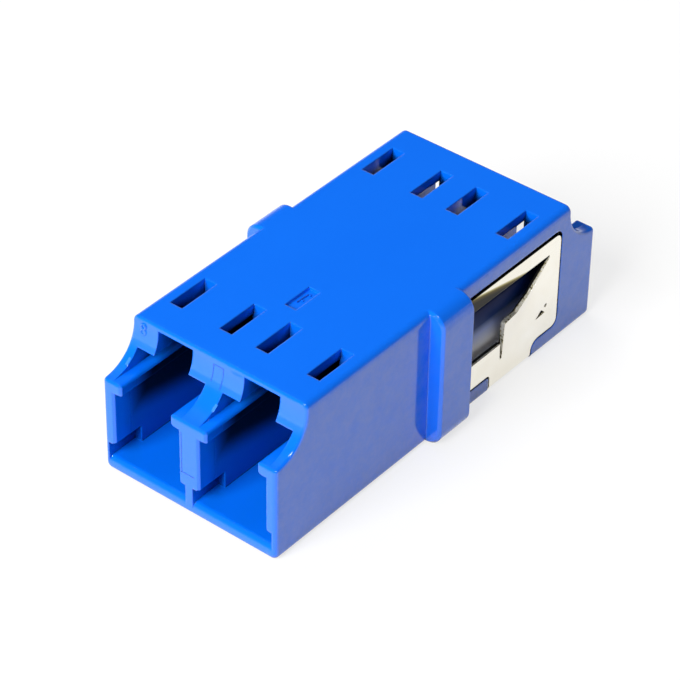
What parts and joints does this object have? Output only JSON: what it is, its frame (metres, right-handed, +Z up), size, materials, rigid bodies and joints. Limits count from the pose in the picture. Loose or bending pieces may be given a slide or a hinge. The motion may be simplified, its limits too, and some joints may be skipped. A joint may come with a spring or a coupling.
{
  "type": "fibre optic adapter",
  "caption": "Duplex fibre adapter with open plug ports at both ends, latch windows in the top, side nubs and a folded metal panel clip with sprung catches.",
  "frame": {"origin": "middle of the flat underside, half-way between the two port ends", "axes": "+X across the pair of ports, +Y along the ports towards the clip end, +Z up to the latch windows"},
  "size_m": [0.0146, 0.0294, 0.0093],
  "materials": {
    "housing": "smooth semi-gloss blue moulding",
    "clip": "bright nickel-plated spring steel",
    "retainer": "smooth semi-gloss blue moulding",
    "sleeve": "polished zirconia ceramic"
  },
  "bodies": {
    "root": {"housing": "housing", "panel_clip": "clip", "sleeve_retainer_left": "retainer", "sleeve_retainer_right": "retainer", "split_sleeve_left": "sleeve", "split_sleeve_right": "sleeve"}
  },
  "joints": []
}
